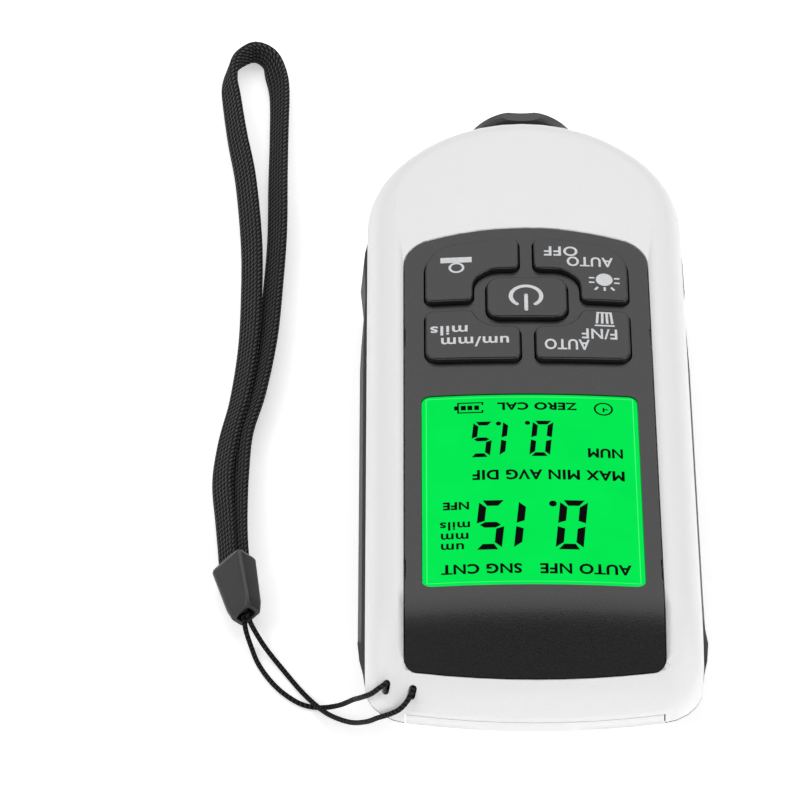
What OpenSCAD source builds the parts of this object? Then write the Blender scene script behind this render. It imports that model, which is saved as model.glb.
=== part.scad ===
// Hand-held coating thickness gauge, lying on its back: face up (+Z), probe towards +Y, strap at -Y.
// Millimetres. The origin is under the middle of the body, on the surface it lies on.

/* [Case] */
// Width of the light upper shell
case_w = 50.9; // [48:0.1:56]
// Length of the upper shell, strap end to head
case_len = 130.8; // [124:0.2:138]
// Height of the face above the surface it lies on
case_h = 27; // [26:0.5:30]
// Height of the joint between the two shells
part_z = 14.4; // [13.8:0.1:15]
// Wall of both shells
wall = 2.2; // [1.6:0.1:2.6]
// Depth of the face wall that carries the faceplate
face_wall = 3.6; // [3.2:0.1:4.2]
// Rounding of the face's outer edge
edge_r = 4.5; // [3.5:0.25:5]
// Radius of the crown across the face
crown_r = 210; // [180:10:500]
// Corner radius at the strap end
corner_r = 7.5; // [6:0.5:9]
// Length of the nose that bends down at the strap end
nose_len = 17.1; // [15:0.1:18.4]
// Slope of the nose in degrees
nose_angle = 26; // [18:1:27]
// How far the grips of the lower shell stand out
grip_out = 1.2; // [0.4:0.1:1.4]
// Width of the flat base
base_w = 41; // [40:0.5:44]
// Floor of the lower shell
floor_t = 1.8; // [1.4:0.1:2.2]

/* [Faceplate] */
// Width of the dark faceplate
plate_w = 38.9; // [37.5:0.1:40]
// Length of the faceplate
plate_len = 97.7; // [96:0.1:100]
// Distance of the faceplate from the strap end
plate_near = 3.7; // [3.4:0.1:4.4]
// Thickness of the faceplate
plate_t = 2; // [1.6:0.1:2.4]
// Width of the ledge under the faceplate's rim
ledge = 1.6; // [1.2:0.1:1.8]

/* [Display] */
// Width of the display window
window_w = 33.8; // [30:0.1:34.2]
// Length of the display window
window_len = 42.9; // [38:0.1:43.5]
// Distance of the window from the strap end
window_near = 18.6; // [18.4:0.1:19]
// Thickness of the clear window at its edge
lens_t = 1.2; // [1.1:0.1:1.5]
// Thickness of the liquid crystal cell
lcd_t = 1.5; // [1:0.1:2]
// Thickness of the backlight
light_t = 2.4; // [1.8:0.1:3]

/* [Keys] */
// Height of the key tops above the faceplate
key_rise = 0.9; // [0.6:0.1:1.4]
// Travel of the keys
key_travel = 0.7; // [0.4:0.1:0.8]
// Margin between the faceplate's edge and the key field
key_margin = 3.3; // [2.8:0.1:3.8]
// Space between the window and the key field
key_space = 7.4; // [7:0.1:9]
// Gap between neighbouring keys
key_gap = 2.4; // [1.8:0.1:3]
// Width of the middle key
power_w = 12.8; // [11:0.1:14]
// Length of the middle key
power_len = 9.6; // [8:0.1:11]
// Clearance round each key in its hole
key_clear = 0.25; // [0.2:0.05:0.4]

/* [Probe] */
// Radius of the collar's scalloped flange
collar_r = 9.9; // [9:0.1:10.4]
// Radius of the collar's neck
neck_r = 7.6; // [7.2:0.1:8]
// How far the collar stands out of the head
collar_out = 4.3; // [4:0.1:6]
// Thickness of the collar's flange
flange_t = 2; // [1.6:0.1:2.6]
// Radius of the sprung sleeve
sleeve_r = 5.2; // [4.6:0.1:5.4]
// How far the tip stands out of the collar
tip_out = 1.5; // [1.2:0.1:2]
// Travel of the sprung sleeve
sleeve_travel = 1.5; // [1:0.1:1.8]

/* [Power] */
// Diameter of one cell
cell_d = 10.5; // [10.3:0.1:10.6]
// Length of one cell with its button
cell_len = 44.5; // [44:0.1:45]
// Width of the sliding battery cover
cover_w = 38.6; // [36:0.2:39]
// Length of the battery cover along the base
cover_len = 69.4; // [68.8:0.2:72]
// Thickness of the battery cover
cover_t = 1.5; // [1.2:0.1:1.7]
// Height of the cover's end lip above the shells' joint
lip_h = 1.6; // [1.2:0.1:2.2]

/* [Strap] */
// Width of the flat braid
braid_w = 4.4; // [3.8:0.1:4.8]
// Thickness of the flat braid
braid_t = 1.6; // [1.3:0.1:1.7]
// Diameter of the thin cord
cord_d = 0.8; // [0.6:0.05:0.9]
// Width of the two cord slots
slot_w = 1.2; // [1.1:0.05:1.4]

/* [Hidden] */
// General running clearance, and the one between parts of the case
gap = 0.2;
eps = 0.01;
total_len = case_len + collar_out + tip_out;
y_near = -total_len / 2;
y_head = y_near + case_len;
y_collar = y_head + collar_out;
y_tip = y_collar + tip_out;

// Plan of the upper shell: bowed strap end, corners, straight sides, rounded head
bow_r = 110;
head_r = 26.8 * case_w / 50.9;
shoulder_r = 21.8 * case_w / 50.9;
side_steps = [0, 0.03, 0.06, 0.1, 0.15, 0.25, 0.4, 0.55, 0.66, 0.73, 0.79, 0.85, 0.92];
nose_soft = 6;
// Least height of the plain wall below the nose's rounded edge
nose_rim = 1;

// Lower shell: where the flat base begins, and the grips' waist
base_near = 18;
slope_len = 8;
// Height of the upright band left under the joint at the strap end
rim_band = 0.15;
base_head = 9;
grip_near = 9;
grip_end = 121;
grip_fade = 9;
waist_y = 98;
waist_depth = 0.5;

// Faceplate's plan and its set below the shell, and the two notches in each long edge
plate_set = 0.1;
plate_half = plate_w / 2;
y_plate = y_near + plate_near;
y_plate_end = y_plate + plate_len;
plate_arch = 50;
plate_corner = 6;
notch_l = 4.4;
notch_d = 0.15;

// Display stack, worked down from the face to the board
y_window = y_near + window_near;
y_window_mid = y_window + window_len / 2;
lens_set = 0.1;
lens_z = face_z(window_w / 2, y_window_mid) - plate_set - lens_set - lens_t;
lcd_z = lens_z - lcd_t;
light_z = lcd_z - light_t;
frame_foot = 1.9;
board_z = light_z - frame_foot;
board_t = 1.6;
frame_wall = 0.7;
strip_l = 2;

// Key field, halved by the gaps; the middle key sits on the crossing
y_keys = y_window + window_len + key_space;
key_row = 11.75;
y_key_row = y_keys + key_row;
y_power = y_keys + 14.7;
key_skirt = 0.8;
key_lip = 1;
key_foot = 2.1;
key_round = 1.2;
key_z = case_h - plate_set - plate_t - key_lip - key_foot;

// Battery bay in the lower shell
cell_r = cell_d / 2;
cell_x = cell_r + 0.35;
cell_z = floor_t + 0.6 + cell_r;
bay_wall = 1.2;
bay_half = 2 * cell_r + 1.1;
spring_len = 3;
contact_t = 0.4;
y_bay = y_near + base_near + 0.6;
y_cells = y_bay + contact_t + spring_len;
bay_len = contact_t * 2 + spring_len + cell_len;
cover_half = cover_w / 2;
rail = 0.8;
// How far the bowed end falls back at the cover's edges, and the clearance over its lip
lip_bow = bow_r - sqrt(bow_r * bow_r - cover_half * cover_half);
lip_gap = 0.1;

// Screw posts: four for the case, four for the board
case_post_r = 2.1;
case_post_near = [case_w / 2 - 3.25, y_near + 31];
case_post_head = [case_w / 2 - 7.75, y_near + 110.1];
screw_r = 1.1;
screw_head_r = 1.9;
screw_seat = 3;
board_post_r = 1.6;
board_screw_r = 0.7;
board_half = case_w / 2 - 6.4;
y_board = y_near + 10.1;
y_board_end = y_near + 102.1;
board_posts = [
    [bay_half + bay_wall + 2.7, y_window + window_len + 3.2],
    [12, y_window - 4.4]
];

// Probe barrel, measured back from the head
barrel_back = 24;
shoulder_back = 13;
shoulder_t = 2;
barrel_bore = sleeve_r + 1.2;
plug_t = 2;
core_r = 1.5;

// Strap route on the surface: [x, y, lean of the braid from upright in degrees, to the right of travel]
braid_route = [
    [-47.1, -22, 46], [-47.4, -17, 44], [-47.9, -10, 42], [-48.5, 0, 40], [-47.7, 10, 38], [-46.1, 20, 36],
    [-45, 33, 34], [-44.8, 46, 34], [-45.1, 59, 34], [-46.4, 75, 32], [-48, 86, 30], [-49.2, 96, 28],
    [-49.7, 101, 22], [-49.2, 105.6, 14], [-47.8, 108.2, 8], [-45.4, 109.8, 4], [-43, 107.8, -4],
    [-41.8, 104, -12], [-41, 98, -20], [-40.9, 86, -26], [-40.9, 75, -28], [-40.8, 60, -30], [-41.3, 46, -32],
    [-42, 33, -34], [-43.6, 20, -36], [-45.5, 10, -38], [-45.9, 0, -40], [-45.8, -10, -42], [-45.5, -17, -44],
    [-45.1, -22, -46]
];
// Stretch over which the braid is lifted and drawn together before the ferrule, and by what share
gather_len = 34;
gather_in = 0.2;
// Thin cord: out of the ferrule, along the surface, up into one slot, back out of the other and home
cord_route = [
    [-44.2, -31.2, 3.9], [-43.7, -32.8, 3.5], [-43, -34.2, 2.6], [-41, -37.2, 1.1], [-38, -41.8, 0.5],
    [-35.2, -46.4, 0.6], [-32.6, -50.6, 1.5], [-30.4, -53.8, 2.8], [-27.6, -58.2, 6], [-25.2, -62.6, 10.6],
    [-23.6, -65.2, 14], [-21.8, -66.5, 16.1], [-20.4, -66.9, 17.4], [-19.4, -66.7, 18.5], [-18.6, -66, 19.6],
    [-18.2, -64.9, 19.8], [-17.7, -63.5, 18.7], [-17.1, -62.1, 17.4], [-17.6, -60.9, 16.5], [-19, -60.3, 16.2],
    [-20.4, -60.3, 16.5], [-21, -61, 17.3], [-21.6, -62.3, 18.6], [-22.2, -63.7, 19.8], [-23.1, -64.4, 19.7],
    [-24.4, -64.1, 18.1], [-25.5, -62.7, 16.1], [-26.4, -59.8, 12.8], [-27.2, -55.8, 8.5], [-29.6, -51.8, 3.2],
    [-32.6, -49.8, 0.7], [-35.4, -48.8, 0.5], [-38.2, -46.4, 0.5], [-40.4, -43.4, 0.5], [-42.2, -39.8, 0.5],
    [-43.3, -36.8, 1.2], [-44.1, -34.6, 2.4], [-44.4, -32.8, 3], [-44.8, -31.2, 3.3]
];
slot_a = [-22.3, -64.1, 19.4];
slot_b = [-18.4, -65.3, 19.5];
slot_tilt = [52, 0, -22];
slot_l = 2.3;

// Ferrule: middle of its rear end, lean and turn, and its sections as [distance, width, thickness]
ferrule_rear = [-46.3, -21.1, 3.6];
ferrule_lean = 46;
ferrule_turn = 11;
ferrule_sections = [[0, 6.1, 3.9], [0.6, 6.4, 4.2], [9.6, 4.9, 3.6], [11.6, 4.1, 3]];
ferrule_round = 0.7;
ferrule_mouth = [5.4, 3.3];
ferrule_nose = [2.7, 1.8];
ferrule_depth = 3.4;

function lerp(a, b, f) = a + (b - a) * f;
function ease(f) = let (g = min(1, max(0, f))) g * g * (3 - 2 * g);

// Fall of the face along the nose, and its height over the plan
function nose_drop(y) =
    let (
        s = max(0, y_near + nose_len - y),
        room = case_h - part_z - edge_r - nose_rim,
        k = min(tan(nose_angle), room / (nose_len - nose_soft / 2))
    )
    s < nose_soft ? k * s * s / (2 * nose_soft) : k * (s - nose_soft / 2);
function face_z(x, y) = case_h - crown_r + sqrt(crown_r * crown_r - x * x) - nose_drop(y);

// Points of an arc, without its end
function arc_pts(c, r, a0, a1, n) =
    [for (i = [0:n - 1]) c + r * [cos(lerp(a0, a1, i / n)), sin(lerp(a0, a1, i / n))]];

// Closed outline, mirrored about x = 0: straight sides, arched ends, corners tangent to both
function rounded(half_w, y0, end0, corner0, y1, end1, corner1) =
    let (
        c0 = [0, y0 + end0],
        k0 = [half_w - corner0, c0.y - sqrt(pow(end0 - corner0, 2) - pow(half_w - corner0, 2))],
        a0 = atan2(k0.y - c0.y, k0.x),
        c1 = [0, y1 - end1],
        k1 = [half_w - corner1, c1.y + sqrt(pow(end1 - corner1, 2) - pow(half_w - corner1, 2))],
        a1 = atan2(k1.y - c1.y, k1.x),
        half = concat(
            arc_pts(c0, end0, -90, a0, 4),
            arc_pts(k0, corner0, a0, 0, 5),
            [for (f = side_steps) [half_w, lerp(k0.y, k1.y, f)]],
            arc_pts(k1, corner1, 0, a1, 7),
            arc_pts(c1, end1, a1, 90, 6),
            [[0, y1]]
        )
    )
    concat(half, [for (i = [len(half) - 2:-1:1]) [-half[i].x, half[i].y]]);

// Rounded rectangle of width w and length l about the origin
function rect_pts(w, l, r) = concat(
    arc_pts([w / 2 - r, l / 2 - r], r, 0, 90, 5), [[w / 2 - r, l / 2]],
    arc_pts([r - w / 2, l / 2 - r], r, 90, 180, 5), [[-w / 2, l / 2 - r]],
    arc_pts([r - w / 2, r - l / 2], r, 180, 270, 5), [[r - w / 2, -l / 2]],
    arc_pts([w / 2 - r, r - l / 2], r, 270, 360, 5), [[w / 2, r - l / 2]]
);

// Upper shell's plan, inset by d
function case_plan(d) = rounded(
    case_w / 2 - d, y_near + d, bow_r - d, corner_r - d, y_head - d, head_r - d, shoulder_r - d
);

// Two triangles for the quad a, b, c, d
function quad(a, b, c, d) = [[a, b, c], [a, c, d]];

// Solid through a stack of mirrored rings, lowest first; columns > 1 gives its top the crown of the face
module loft(rings, columns = 1) {
    n = len(rings[0]);
    m = n / 2;
    top = (len(rings) - 1) * n;
    last = rings[len(rings) - 1];
    crown = [
        for (i = [1:1:m - 1], j = [1:1:columns - 1])
            let (p = lerp(last[i], last[n - i], j / columns)) [p.x, p.y, face_z(p.x, p.y)]
    ];
    function at(i, j) =
        j == 0 ? top + i : j == columns ? top + n - i : top + n + (i - 1) * (columns - 1) + j - 1;
    sides = [
        for (k = [0:len(rings) - 2], i = [0:n - 1])
            each quad(k * n + i, (k + 1) * n + i, (k + 1) * n + (i + 1) % n, k * n + (i + 1) % n)
    ];
    under = concat(
        [[0, 1, n - 1]],
        [for (i = [1:m - 2]) each quad(i, i + 1, n - i - 1, n - i)],
        [[m - 1, m, m + 1]]
    );
    over = concat(
        [for (j = [0:columns - 1]) [top, at(1, j + 1), at(1, j)]],
        [for (i = [1:m - 2], j = [0:columns - 1])
            each quad(at(i, j), at(i, j + 1), at(i + 1, j + 1), at(i + 1, j))],
        [for (j = [0:columns - 1]) [top + m, at(m - 1, j), at(m - 1, j + 1)]]
    );
    polyhedron(concat([for (r = rings) each r], crown), concat(sides, under, over));
}

// Outside of the upper shell as a solid block: wall, rounded edge, crowned and bent face
module front_block() {
    low = case_plan(0);
    high = case_plan(edge_r);
    rings = concat(
        [[for (p = low) [p.x, p.y, part_z]]],
        [for (a = [0:15:90]) [for (i = [0:len(low) - 1])
            let (p = lerp(low[i], high[i], 1 - cos(a)))
            [p.x, p.y, face_z(p.x, p.y) - edge_r * (1 - sin(a))]]]
    );
    loft(rings, 6);
}

// Hollow of the upper shell
module front_core() {
    r = edge_r - wall;
    low = case_plan(wall);
    high = case_plan(edge_r);
    rings = concat(
        [[for (p = low) [p.x, p.y, part_z - 1]]],
        [for (a = [0:45:90]) [for (i = [0:len(low) - 1])
            let (p = lerp(low[i], high[i], 1 - cos(a)))
            [p.x, p.y, max(part_z - 0.5, face_z(p.x, p.y) - face_wall - r * (1 - sin(a)))]]]
    );
    loft(rings);
}

// Grip bulge along the lower shell's sides, with its waist
function grip(y) =
    ease((y - y_near - grip_near) / grip_fade) * ease((y_near + grip_end - y) / grip_fade)
    * (1 - waist_depth * exp(-pow((y - y_near - waist_y) / 5, 2)));

// Height at which the lower shell's side begins to round under
function turn_z(y) = lerp(
    lerp(9, 6.5, ease((y - y_head + 32) / 20)),
    part_z - rim_band,
    slope_share(y)
);

// Share of the straight slope under the strap end in the lower shell's side at y
function slope_share(y) = ease((y_near + base_near + slope_len - y) / slope_len);

// Rings of the lower shell, inset by d above a floor at height low
function back_rings(d, low) =
    let (
        rim = case_plan(d),
        base = rounded(
            base_w / 2 - d, y_near + base_near + d, 90 - d, 7 - d, y_head - base_head - d,
            base_w / 2 + 1 - d, base_w / 2 - 3 - d
        ),
        wide = [for (p = rim) [p.x * (1 + grip_out * grip(p.y) * 2 / case_w), p.y]]
    )
    concat(
        [for (a = [90:-15:0]) [for (i = [0:len(rim) - 1])
            let (p = lerp(wide[i], base[i], 1 - cos(a)), q = rim[i].y)
            [p.x, p.y, low + (turn_z(q) - low) * lerp(1 - sin(a), cos(a), slope_share(q))]]],
        [[for (i = [0:len(rim) - 1]) let (p = lerp(rim[i], wide[i], 0.5)) [p.x, p.y, part_z]]]
    );

module back_block() {
    loft(back_rings(0, 0));
}

// Hollow of the lower shell, carried above the joint so that it cuts clean
module back_core() {
    rings = back_rings(wall, floor_t);
    loft(concat(rings, [[for (p = case_plan(wall)) [p.x, p.y, part_z + 1]]]));
}

// Slab that follows the face, from depth d0 to depth d1 below it
module face_slab(half_w, y0, y1, d0, d1) {
    nx = 8;
    bend = [for (f = [0, 0.15, 0.3, 0.45, 0.6, 0.8, 1]) y_near + nose_len - f * (nose_soft + 1)];
    ys = concat([y1], [for (y = bend) if (y < y1 && y > y0) y], [y0]);
    ny = len(ys);
    row = nx + 1;
    pts = [
        for (d = [d1, d0], y = ys, i = [0:nx])
            let (x = lerp(-half_w, half_w, i / nx)) [x, y, face_z(x, y) - d]
    ];
    step = ny * row;
    under = [
        for (k = [0:ny - 2], i = [0:nx - 1])
            each quad(k * row + i, (k + 1) * row + i, (k + 1) * row + i + 1, k * row + i + 1)
    ];
    over = [for (t = under) [for (i = [2:-1:0]) t[i] + step]];
    rim = concat(
        [for (i = [0:nx - 1]) each quad(i, i + 1, i + 1 + step, i + step)],
        [for (i = [0:nx - 1]) let (a = (ny - 1) * row + i) each quad(a + step, a + 1 + step, a + 1, a)],
        [for (k = [0:ny - 2]) let (a = k * row) each quad(a + step, a + row + step, a + row, a)],
        [for (k = [0:ny - 2]) let (a = k * row + nx) each quad(a, a + row, a + row + step, a + step)]
    );
    polyhedron(pts, concat(under, over, rim));
}

// Everything under the crown of the flat part of the face, down to depth d below it
module under_crown(d) {
    translate([0, 0, case_h - crown_r])
        rotate([90, 0, 0])
            cylinder(r = crown_r - d, h = 2 * total_len, center = true, $fn = 360);
}

// Faceplate's plan, inset by d
module plate_plan(d) {
    polygon(rounded(
        plate_half - d, y_plate + d, bow_r - d, 2 - min(d, 1),
        y_plate_end - d, plate_arch - d, plate_corner - d
    ));
}

// Moves its children to each of the two mirrored places
module pair(p, z = 0) {
    for (s = [-1, 1])
        translate([s * p.x, p.y, z])
            children();
}

module case_posts(r, z0, z1) {
    for (p = [case_post_near, case_post_head])
        pair(p, z0)
            cylinder(r = r, h = z1 - z0, $fn = 40);
}

// Lies along +Y with its axis on the probe's, starting at y
module along_probe(y) {
    translate([0, y, part_z])
        rotate([-90, 0, 0])
            children();
}

// Two slots that the thin cord passes through, either side of a bridge
module cord_slots() {
    for (p = [slot_a, slot_b])
        translate(p)
            rotate(slot_tilt)
                linear_extrude(12, center = true)
                    polygon(rect_pts(slot_w, slot_l, slot_w / 2 - eps));
}

// Light upper shell: open under the faceplate, ledge round it, screw posts, cord slots, notch for the lip
module front_case() {
    color("whitesmoke")
        difference() {
            front_block();
            difference() {
                front_core();
                case_posts(case_post_r, part_z, case_h);
            }
            translate([0, 0, part_z])
                linear_extrude(case_h)
                    plate_plan(ledge);
            intersection() {
                face_slab(plate_half + 1, y_plate - 1, y_plate_end + 1, -3, plate_set + plate_t);
                translate([0, 0, part_z])
                    linear_extrude(case_h)
                        plate_plan(-gap);
            }
            case_posts(screw_r + 0.05, part_z - 1, part_z + 6.5);
            cord_slots();
            along_probe(y_head - barrel_back - 1)
                cylinder(r = neck_r + gap, h = barrel_back + 10, $fn = 64);
            translate([-cover_half - gap, y_near - 1, part_z - 1])
                cube([cover_w + 2 * gap, 1 + lip_bow + wall + gap, lip_h + lip_gap + 1]);
        }
}

// What the lower shell keeps inside: screw posts, battery bay, raised floor above the cover
module back_inside() {
    case_posts(case_post_r + 0.6, 0, part_z);
    translate([-bay_half - bay_wall, y_bay - bay_wall, 0])
        cube([2 * (bay_half + bay_wall), bay_len + 2 * bay_wall, part_z]);
    translate([-cover_half - rail - 1.6, y_bay - bay_wall, 0])
        cube([cover_w + 2 * rail + 3.2, y_near + cover_len + 1.6 - y_bay + bay_wall, 2 * floor_t]);
}

// Dark lower shell with grips, battery bay, screw wells and the cover's bed
module back_case() {
    color([0.2, 0.2, 0.21])
        difference() {
            back_block();
            difference() {
                back_core();
                back_inside();
            }
            translate([-bay_half, y_bay, -1])
                cube([2 * bay_half, bay_len, part_z - bay_wall + 1]);
            translate([-cover_half - gap, y_near - 1, -1])
                cube([cover_w + 2 * gap, cover_len + 1 + gap, floor_t + 1 + eps]);
            translate([-cover_half - rail - gap, y_near - 1, floor_t - cover_t / 2 - 0.5])
                cube([cover_w + 2 * (rail + gap), cover_len + 1 + gap - 6, 0.8]);
            translate([-cover_half - gap, y_near - 1, floor_t])
                cube([cover_w + 2 * gap, y_bay - bay_wall - y_near + 1, part_z]);
            case_posts(screw_r + 0.2, -1, part_z + 1);
            case_posts(screw_head_r + gap, -1, screw_seat);
            along_probe(y_head - barrel_back - 1)
                cylinder(r = neck_r + gap, h = barrel_back + 10, $fn = 64);
        }
}

// Sliding battery cover: flat panel with side ribs, curved end, lip that shows at the strap end
module battery_cover() {
    panel_z = floor_t - cover_t - 0.1;
    color("whitesmoke")
        union() {
            translate([-cover_half, y_near + base_near, panel_z])
                cube([cover_w, cover_len - base_near, cover_t]);
            translate([-cover_half - rail, y_near + base_near, floor_t - cover_t / 2 - 0.4])
                cube([cover_w + 2 * rail, cover_len - base_near - 7, 0.6]);
            intersection() {
                difference() {
                    union() {
                        back_block();
                        front_block();
                    }
                    loft(concat(
                        back_rings(wall - 0.4, floor_t - 0.1),
                        [[for (p = case_plan(wall - 0.4)) [p.x, p.y, part_z + lip_h + 1]]]
                    ));
                }
                translate([-cover_half, y_near - 1, panel_z])
                    cube([cover_w, y_bay - bay_wall - gap - y_near + 1, part_z + lip_h - panel_z]);
            }
            intersection() {
                back_block();
                translate([-cover_half, y_near + 1, panel_z])
                    cube([cover_w, base_near - 1 + eps, cover_t]);
            }
        }
}

// Rounded plan of the middle key, grown by d
module power_plan(d) {
    translate([0, y_power])
        polygon(rect_pts(power_w + 2 * d, power_len + 2 * d, 2.2 + d));
}

// Plan of one corner key; sx and sy pick the corner
module corner_plan(sx, sy) {
    offset(r = key_round, $fn = 24)
        offset(delta = -key_round)
            difference() {
                intersection() {
                    polygon(rounded(
                        plate_half - key_margin, y_keys, 400, 2, y_plate_end - key_margin, plate_arch, 6
                    ));
                    translate([sx > 0 ? key_gap / 2 : -plate_half, sy > 0 ? y_key_row + key_gap : y_keys - 1])
                        square([plate_half - key_gap / 2, sy > 0 ? plate_len : y_key_row - y_keys + 1]);
                }
                power_plan(key_gap - 0.2);
            }
}

// Key from its plan: crowned cap through the faceplate, skirt held under it, foot over the mat
module key_solid() {
    intersection() {
        translate([0, 0, key_z])
            linear_extrude(case_h + key_rise - key_z)
                children();
        under_crown(plate_set - key_rise);
    }
    intersection() {
        translate([0, 0, key_z + key_foot - 0.6])
            linear_extrude(plate_t + key_lip)
                offset(delta = key_skirt)
                    children();
        under_crown(plate_set + plate_t + 0.1);
    }
}

module key_power() {
    color([0.27, 0.27, 0.28])
        key_solid()
            power_plan(0);
}

module key_zero() {
    color([0.27, 0.27, 0.28])
        mirror([1, 0, 0])
            key_solid()
                corner_plan(1, 1);
}

module key_light() {
    color([0.27, 0.27, 0.28])
        key_solid()
            corner_plan(1, 1);
}

module key_unit() {
    color([0.27, 0.27, 0.28])
        mirror([1, 0, 0])
            key_solid()
                corner_plan(1, -1);
}

module key_mode() {
    color([0.27, 0.27, 0.28])
        key_solid()
            corner_plan(1, -1);
}

// Dark faceplate: crowned and bent, with window, key holes and posts for the board
module faceplate() {
    color([0.31, 0.31, 0.32])
        difference() {
            union() {
                intersection() {
                    face_slab(plate_half + 1, y_plate - 1, y_plate_end + 1, plate_set, plate_set + plate_t);
                    translate([0, 0, part_z])
                        linear_extrude(case_h)
                            plate_plan(0);
                }
                for (p = board_posts)
                    pair(p, board_z)
                        cylinder(r = board_post_r, h = face_z(p.x, p.y) - plate_t / 2 - board_z, $fn = 32);
            }
            translate([0, y_window_mid, part_z])
                linear_extrude(case_h)
                    polygon(rect_pts(window_w, window_len, 1.5));
            translate([0, 0, part_z])
                linear_extrude(case_h) {
                    offset(delta = key_clear)
                        power_plan(0);
                    for (sx = [-1, 1], sy = [-1, 1])
                        offset(delta = key_clear)
                            corner_plan(sx, sy);
                }
            for (p = board_posts)
                pair(p, board_z - 1)
                    cylinder(r = board_screw_r + 0.05, h = 4, $fn = 24);
            for (y = [y_window + 4.1, y_window + window_len + 14.1])
                pair([plate_half, y], case_h)
                    cube([2 * notch_d, notch_l, 2 * plate_t + 2], center = true);
        }
}

// Clear window let into the faceplate, crowned with it
module display_window() {
    color([0.75, 0.95, 0.8, 0.5])
        intersection() {
            translate([0, y_window_mid, lens_z])
                linear_extrude(case_h - lens_z)
                    polygon(rect_pts(window_w - gap, window_len - gap, 1.4));
            under_crown(plate_set + lens_set);
        }
}

// Liquid crystal cell under the window
module lcd_cell() {
    color([0.1, 0.9, 0.35])
        translate([0, y_window_mid, lcd_z])
            linear_extrude(lcd_t)
                polygon(rect_pts(window_w - 2 * gap, window_len - 2 * gap, 1.4));
}

// Light guide behind the cell, short of the contact strip
module backlight() {
    color([0.9, 1, 0.9])
        translate([0, y_window + window_len - gap, light_z])
            translate([0, -(window_len - 2 * gap - strip_l - 1) / 2, 0])
                linear_extrude(light_t)
                    polygon(rect_pts(window_w - 2 * gap, window_len - 2 * gap - strip_l - 1, 0.6));
}

// Frame that carries cell and light guide above the board
module lcd_frame() {
    color([0.85, 0.85, 0.82])
        difference() {
            translate([0, y_window_mid, board_z])
                linear_extrude(lcd_z - board_z)
                    polygon(rect_pts(window_w + 2 * frame_wall, window_len + 2 * frame_wall, 1.2));
            translate([0, y_window_mid, light_z])
                linear_extrude(light_t + 1)
                    polygon(rect_pts(window_w, window_len, 0.6));
            translate([0, y_window_mid, board_z - 1])
                linear_extrude(light_z)
                    polygon(rect_pts(window_w - 4, window_len - 4 - 2 * strip_l, 1));
            translate([0, y_window + strip_l / 2 + 0.5, board_z - 1])
                linear_extrude(light_z)
                    square([window_w - 2, strip_l + 0.2], center = true);
        }
}

// Elastic contact strip between the board and the cell
module contact_strip() {
    color([0.35, 0.35, 0.4])
        translate([-(window_w - 3) / 2, y_window + 0.5, board_z])
            cube([window_w - 3, strip_l, lcd_z - board_z]);
}

module main_board() {
    mid = (y_board + y_board_end) / 2;
    color([0.1, 0.4, 0.2])
        translate([0, 0, board_z - board_t])
            difference() {
                translate([0, mid, 0])
                    linear_extrude(board_t)
                        polygon(rect_pts(2 * board_half, y_board_end - y_board, 2));
                for (p = board_posts)
                    pair(p, -1)
                        cylinder(r = board_screw_r + gap, h = board_t + 2, $fn = 24);
            }
}

// Processor and amplifier under the board, in the space ahead of the battery bay
module board_chips() {
    y = board_posts[0].y + 9;
    color([0.12, 0.12, 0.13])
        translate([0, y, board_z - board_t])
            for (chip = [[-7, 0, 10, 10, 1.4], [6, 2, 5, 6, 1.5], [13, 2, 4, 5, 1.2]])
                translate([chip[0], chip[1], -chip[4] / 2])
                    cube([chip[2], chip[3], chip[4]], center = true);
}

module buzzer() {
    color([0.15, 0.15, 0.15])
        translate([0, board_posts[0].y + 23, board_z - board_t - 2.4])
            difference() {
                cylinder(r = 4.5, h = 2.4, $fn = 48);
                translate([0, 0, -1])
                    cylinder(r = 0.8, h = 1.8, $fn = 24);
            }
}

// Rubber mat on the board, with one dome under each key
module keypad_mat() {
    y0 = y_keys - 0.6;
    y1 = y_plate_end - key_margin;
    dome_z = key_z - key_travel - 0.15;
    domes = [[9.5, y_keys + 5.4], [9.5, y_power + 7.6]];
    color([0.5, 0.5, 0.52])
        translate([0, 0, board_z])
            union() {
                translate([0, (y0 + y1) / 2, 0])
                    linear_extrude(0.9)
                        polygon(rect_pts(plate_w - 2 * ledge - 1.2, y1 - y0, 2));
                for (p = concat(domes, [for (q = domes) [-q.x, q.y]], [[0, y_power]]))
                    translate([p.x, p.y, 0.9 - eps])
                        cylinder(r1 = 3.2, r2 = 2.4, h = dome_z - board_z - 0.9, $fn = 40);
            }
}

// Scalloped collar with neck and the barrel that guides the sprung sleeve
module probe_collar() {
    scallop = 14;
    barrel_len = barrel_back + collar_out;
    keeper_r = max(neck_r - gap, min(neck_r + 1.2, case_h - face_wall - part_z - gap));
    color([0.24, 0.24, 0.25])
        along_probe(y_head - barrel_back)
            difference() {
                union() {
                    cylinder(r = neck_r, h = barrel_len - eps, $fn = 72);
                    translate([0, 0, barrel_len - flange_t])
                        rotate_extrude($fn = 96)
                            polygon([
                                [sleeve_r + 1, 0], [collar_r - 0.5, 0], [collar_r, 0.4],
                                [collar_r, flange_t - 0.5], [collar_r - 0.5, flange_t],
                                [sleeve_r + 1, flange_t]
                            ]);
                    translate([0, 0, barrel_back - wall - 4.6])
                        cylinder(r = keeper_r, h = 1.6, $fn = 72);
                }
                translate([0, 0, -1])
                    cylinder(r = sleeve_r + 0.1, h = barrel_len + 2, $fn = 64);
                translate([0, 0, -1])
                    cylinder(r = barrel_bore, h = barrel_back - shoulder_back + 1.1, $fn = 64);
                for (a = [0:90:270])
                    rotate(a)
                        translate([collar_r - 0.9 + scallop, 0, barrel_len - flange_t - 1])
                            cylinder(r = scallop, h = flange_t + 2, $fn = 96);
            }
}

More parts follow.
